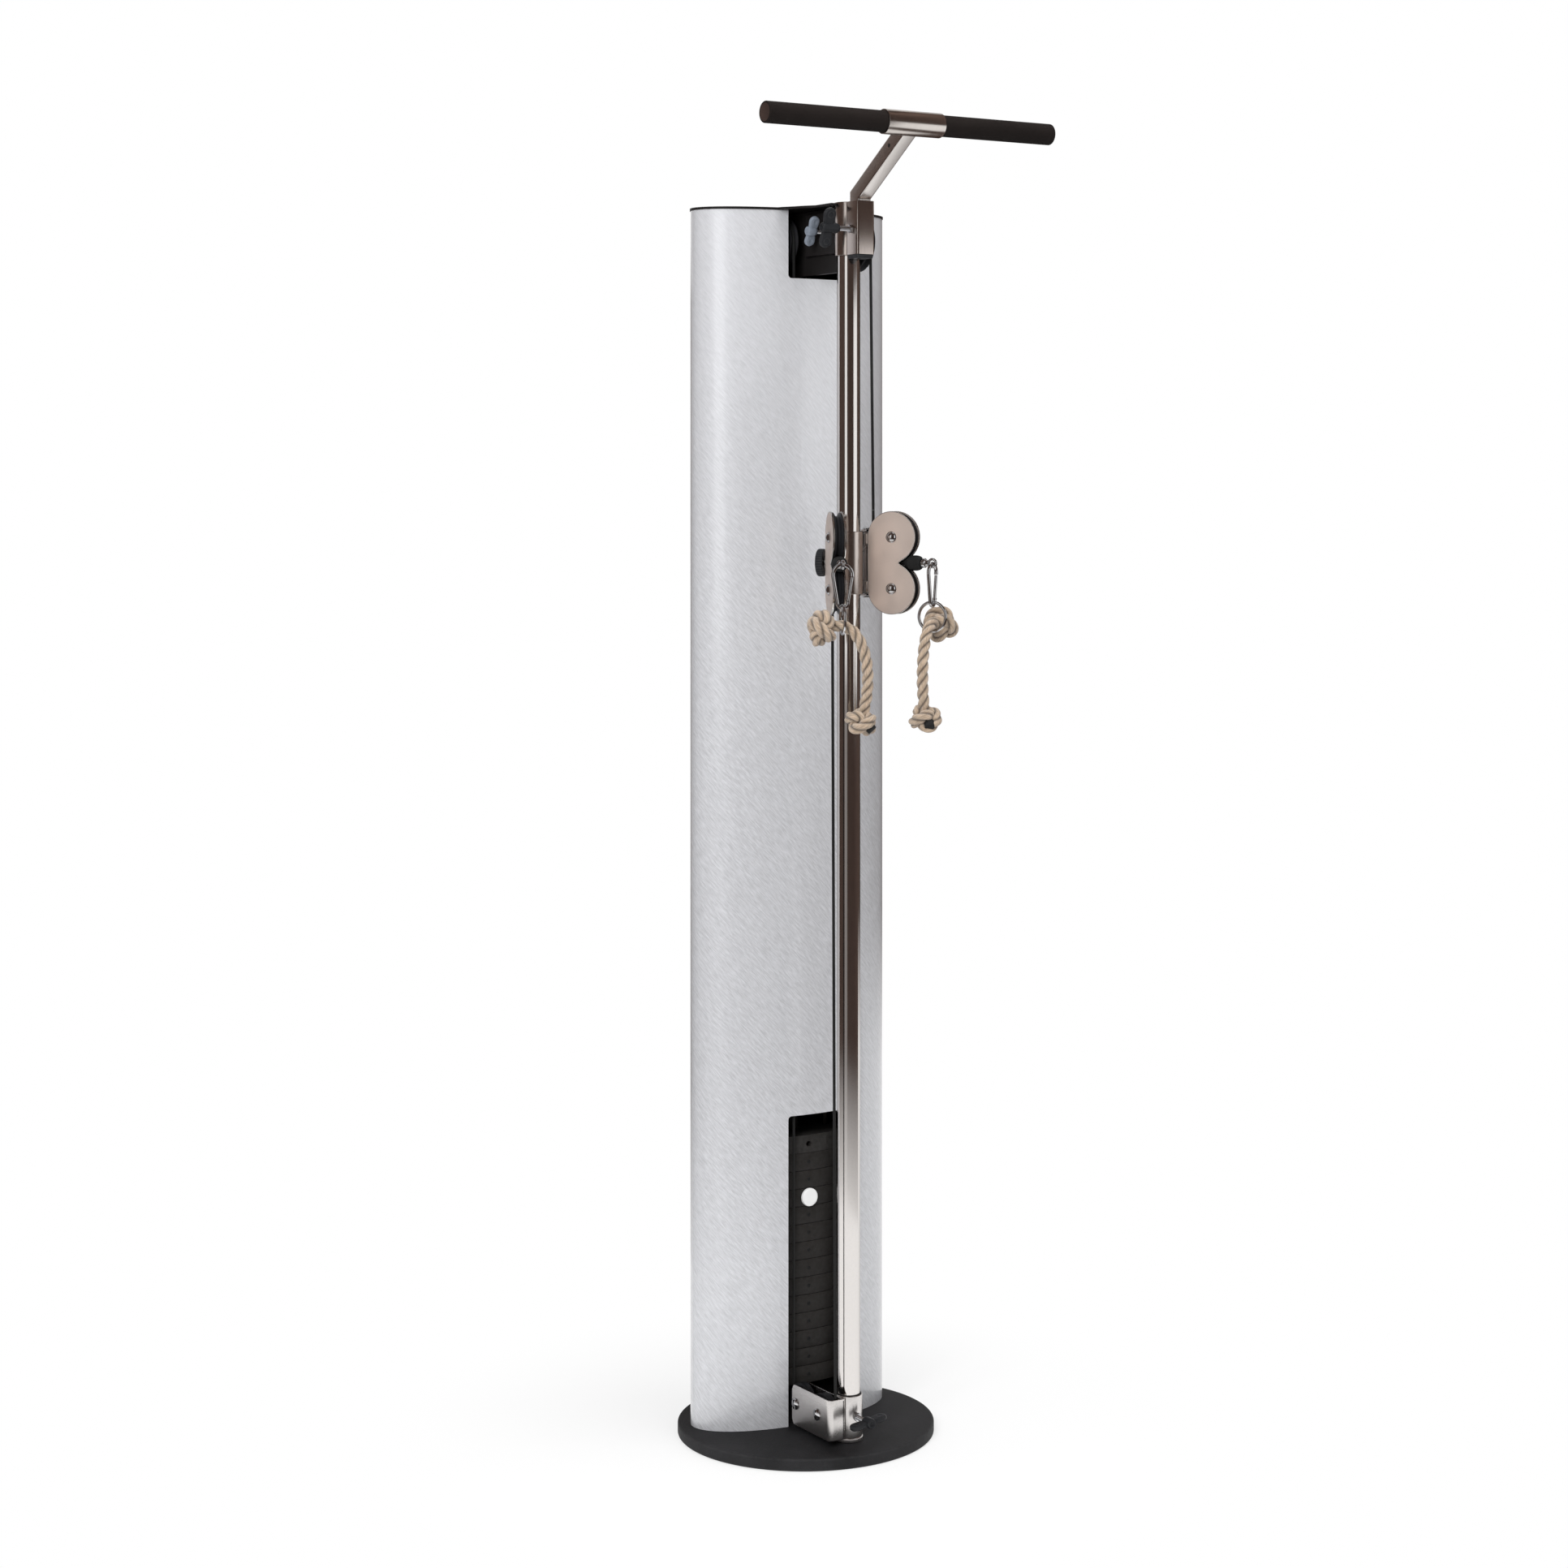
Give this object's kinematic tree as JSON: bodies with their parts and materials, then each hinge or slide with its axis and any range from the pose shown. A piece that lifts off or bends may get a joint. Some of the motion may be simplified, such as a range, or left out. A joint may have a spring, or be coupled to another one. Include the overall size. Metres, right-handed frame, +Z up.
{
  "type": "cable machine",
  "caption": "Freestanding column cable trainer: enclosed weight stack, carriage with swivelling pulley blocks that slides on a guide tube, and a lift-out T handle.",
  "frame": {"origin": "centre of the base plate's underside, on the floor", "axes": "+Z up, -Y towards the user who faces the guide tube, +X to that user's right"},
  "size_m": [0.545, 0.542, 2.168],
  "materials": {
    "base_coating": "matt black powder coat",
    "black_steel": "satin black paint",
    "brushed_shell": "brushed light grey",
    "polished_steel": "polished",
    "satin_steel": "satin",
    "iron_plate": "matt black",
    "black_plastic": "fine grained",
    "black_rubber": "matt",
    "white_plastic": "glossy",
    "cable_skin": "smooth nylon coat",
    "hemp": "twisted natural fibre"
  },
  "bodies": {
    "machine": {"base_plate": "base_coating", "inner_frame": "black_steel", "left_guide_rod": "polished_steel", "right_guide_rod": "polished_steel", "front_shell": "brushed_shell", "rear_shell": "brushed_shell", "top_cover": "black_steel", "resting_plates": "iron_plate", "bottom_rear_screw": "polished_steel", "bottom_front_screw": "polished_steel", "guide_tube": "polished_steel", "foot_ring": "black_rubber", "bottom_bracket": "polished_steel", "top_bracket": "polished_steel", "socket_plug": "black_plastic", "top_cable": "cable_skin", "return_cable": "cable_skin", "stack_cable": "cable_skin", "right_cable_run": "cable_skin", "left_cable_run": "cable_skin"},
    "lifted_stack": {"lifted_plates": "iron_plate", "head_plate": "iron_plate", "selector_rod": "polished_steel"},
    "selector_pin": {"selector_pin": "white_plastic"},
    "travelling_pulley": {"travelling_pulley": "black_plastic"},
    "front_top_pulley": {"front_top_pulley": "black_plastic"},
    "rear_top_pulley_right": {"rear_top_pulley_right": "black_plastic"},
    "rear_top_pulley_left": {"rear_top_pulley_left": "black_plastic"},
    "bottom_rear_pulley": {"bottom_rear_pulley": "black_plastic"},
    "bottom_front_pulley": {"bottom_front_pulley": "black_plastic"},
    "carriage": {"carriage_sleeve": "polished_steel"},
    "locking_knob": {"locking_knob": "black_plastic"},
    "handle": {"handle_arm": "satin_steel", "left_grip": "black_rubber", "right_grip": "black_rubber"},
    "handle_wing_screw": {"handle_wing_screw": "black_plastic"},
    "bracket_wing_screw": {"bracket_wing_screw": "black_plastic"},
    "collar_wing_screw": {"collar_wing_screw": "black_plastic"},
    "left_block": {"left_block_frame": "satin_steel", "left_upper_axle": "polished_steel", "left_lower_axle": "polished_steel", "left_cable_stopper": "black_rubber", "left_cable_end": "cable_skin"},
    "left_upper_pulley": {"left_upper_pulley": "black_plastic"},
    "left_lower_pulley": {"left_lower_pulley": "black_plastic"},
    "left_hook": {"left_snap_hook": "polished_steel"},
    "left_gate": {"left_hook_gate": "polished_steel"},
    "left_ring": {"left_ring": "polished_steel", "left_rope": "hemp"},
    "right_block": {"right_block_frame": "satin_steel", "right_upper_axle": "polished_steel", "right_lower_axle": "polished_steel", "right_cable_stopper": "black_rubber", "right_cable_end": "cable_skin"},
    "right_upper_pulley": {"right_upper_pulley": "black_plastic"},
    "right_lower_pulley": {"right_lower_pulley": "black_plastic"},
    "right_hook": {"right_snap_hook": "polished_steel"},
    "right_gate": {"right_hook_gate": "polished_steel"},
    "right_ring": {"right_ring": "polished_steel", "right_rope": "hemp"}
  },
  "joints": [
    {"name": "carriage_slide", "type": "slide", "parent": "machine", "child": "carriage", "axis": [0, 0, 1], "range_m": [-1.12, 0.37], "deforming": ["right_cable_run", "left_cable_run"]},
    {"name": "stack_lift", "type": "slide", "parent": "machine", "child": "lifted_stack", "axis": [0, 0, 1], "range_m": [0, 1.2], "deforming": ["stack_cable"]},
    {"name": "selector_pin_pull", "type": "slide", "parent": "lifted_stack", "child": "selector_pin", "axis": [0, -1, 0], "range_m": [0, 0.009]},
    {"name": "front_top_pulley_spin", "type": "hinge", "parent": "machine", "child": "front_top_pulley", "pos_m": [0.034, -0.099, 1.975], "axis": [1, 0, 0], "range_deg": [0, 1568]},
    {"name": "rear_top_pulley_right_spin", "type": "hinge", "parent": "machine", "child": "rear_top_pulley_right", "pos_m": [0.034, 0.0205, 1.9825], "axis": [1, 0, 0], "range_deg": [0, 1889]},
    {"name": "rear_top_pulley_left_spin", "type": "hinge", "parent": "machine", "child": "rear_top_pulley_left", "pos_m": [-0.034, 0.0205, 1.9825], "axis": [1, 0, 0], "range_deg": [0, 1889]},
    {"name": "bottom_rear_pulley_spin", "type": "hinge", "parent": "machine", "child": "bottom_rear_pulley", "pos_m": [-0.034, -0.0465, 0.064], "axis": [1, 0, 0], "range_deg": [-2259, 0]},
    {"name": "bottom_front_pulley_spin", "type": "hinge", "parent": "machine", "child": "bottom_front_pulley", "pos_m": [-0.034, -0.1125, 0.064], "axis": [1, 0, 0], "range_deg": [-2259, 0]},
    {"name": "travelling_pulley_spin", "type": "hinge", "parent": "lifted_stack", "child": "travelling_pulley", "pos_m": [0, 0.057, 0.5638], "axis": [0, 1, 0], "continuous": true},
    {"name": "locking_knob_pull", "type": "slide", "parent": "carriage", "child": "locking_knob", "axis": [-0.7071, 0.7071, 0], "range_m": [0, 0.006], "stiffness_N_per_m": 800, "springref_m": -0.004},
    {"name": "handle_lift", "type": "slide", "parent": "machine", "child": "handle", "axis": [0, 0, 1], "range_m": [0, 0.09]},
    {"name": "handle_wing_turn", "type": "hinge", "parent": "machine", "child": "handle_wing_screw", "pos_m": [-0.05, -0.1645, 1.991], "axis": [-1, 0, 0], "continuous": true},
    {"name": "bracket_wing_turn", "type": "hinge", "parent": "machine", "child": "bracket_wing_screw", "pos_m": [-0.02, -0.068, 1.994], "axis": [-1, 0, 0], "continuous": true},
    {"name": "collar_wing_turn", "type": "hinge", "parent": "machine", "child": "collar_wing_screw", "pos_m": [0, -0.17, 0.063], "axis": [0, -1, 0], "continuous": true},
    {"name": "left_block_swivel", "type": "hinge", "parent": "carriage", "child": "left_block", "pos_m": [-0.034, -0.13, 1.45], "axis": [0, 0, 1], "range_deg": [-56, 16]},
    {"name": "left_upper_pulley_spin", "type": "hinge", "parent": "left_block", "child": "left_upper_pulley", "pos_m": [-0.05434, -0.17568, 1.492], "axis": [0.9135, -0.4067, 0], "continuous": true},
    {"name": "left_lower_pulley_spin", "type": "hinge", "parent": "left_block", "child": "left_lower_pulley", "pos_m": [-0.05434, -0.17568, 1.408], "axis": [0.9135, -0.4067, 0], "range_deg": [0, 1863]},
    {"name": "left_hook_swing", "type": "hinge", "parent": "left_block", "child": "left_hook", "pos_m": [-0.08199, -0.2378, 1.4493], "axis": [0.9135, -0.4067, 0], "range_deg": [-80, 5]},
    {"name": "left_gate_open", "type": "hinge", "parent": "left_hook", "child": "left_gate", "pos_m": [-0.07577, -0.24057, 1.39459], "axis": [0.4067, 0.9135, 0], "range_deg": [-22, 0], "stiffness_Nm_per_rad": 0.05, "springref_deg": 17.19},
    {"name": "left_ring_swing", "type": "hinge", "parent": "left_hook", "child": "left_ring", "pos_m": [-0.08199, -0.2378, 1.3808], "axis": [0.9135, -0.4067, 0], "range_deg": [-30, 12]},
    {"name": "right_block_swivel", "type": "hinge", "parent": "carriage", "child": "right_block", "pos_m": [0.034, -0.13, 1.45], "axis": [0, 0, 1], "range_deg": [-24, 48]},
    {"name": "right_upper_pulley_spin", "type": "hinge", "parent": "right_block", "child": "right_upper_pulley", "pos_m": [0.0605, -0.1724, 1.492], "axis": [0.848, 0.5299, 0], "range_deg": [-1863, 0]},
    {"name": "right_lower_pulley_spin", "type": "hinge", "parent": "right_block", "child": "right_lower_pulley", "pos_m": [0.0605, -0.1724, 1.408], "axis": [0.848, 0.5299, 0], "continuous": true},
    {"name": "right_hook_swing", "type": "hinge", "parent": "right_block", "child": "right_hook", "pos_m": [0.09653, -0.23007, 1.4493], "axis": [0.848, 0.5299, 0], "range_deg": [-80, 5]},
    {"name": "right_gate_open", "type": "hinge", "parent": "right_hook", "child": "right_gate", "pos_m": [0.10231, -0.22646, 1.39459], "axis": [-0.5299, 0.848, 0], "range_deg": [-22, 0], "stiffness_Nm_per_rad": 0.05, "springref_deg": 17.19},
    {"name": "right_ring_swing", "type": "hinge", "parent": "right_hook", "child": "right_ring", "pos_m": [0.09653, -0.23007, 1.3808], "axis": [0.848, 0.5299, 0], "range_deg": [-30, 12]}
  ],
  "couplings": [
    {"joint": "front_top_pulley_spin", "follows": "stack_lift", "rad_per_m": 22.727},
    {"joint": "rear_top_pulley_right_spin", "follows": "stack_lift", "rad_per_m": 27.397},
    {"joint": "rear_top_pulley_left_spin", "follows": "stack_lift", "rad_per_m": 27.397},
    {"joint": "bottom_rear_pulley_spin", "follows": "stack_lift", "rad_per_m": -32.787},
    {"joint": "bottom_front_pulley_spin", "follows": "stack_lift", "rad_per_m": -32.787},
    {"joint": "left_lower_pulley_spin", "follows": "stack_lift", "rad_per_m": 27.027},
    {"joint": "right_upper_pulley_spin", "follows": "stack_lift", "rad_per_m": -27.027}
  ]
}
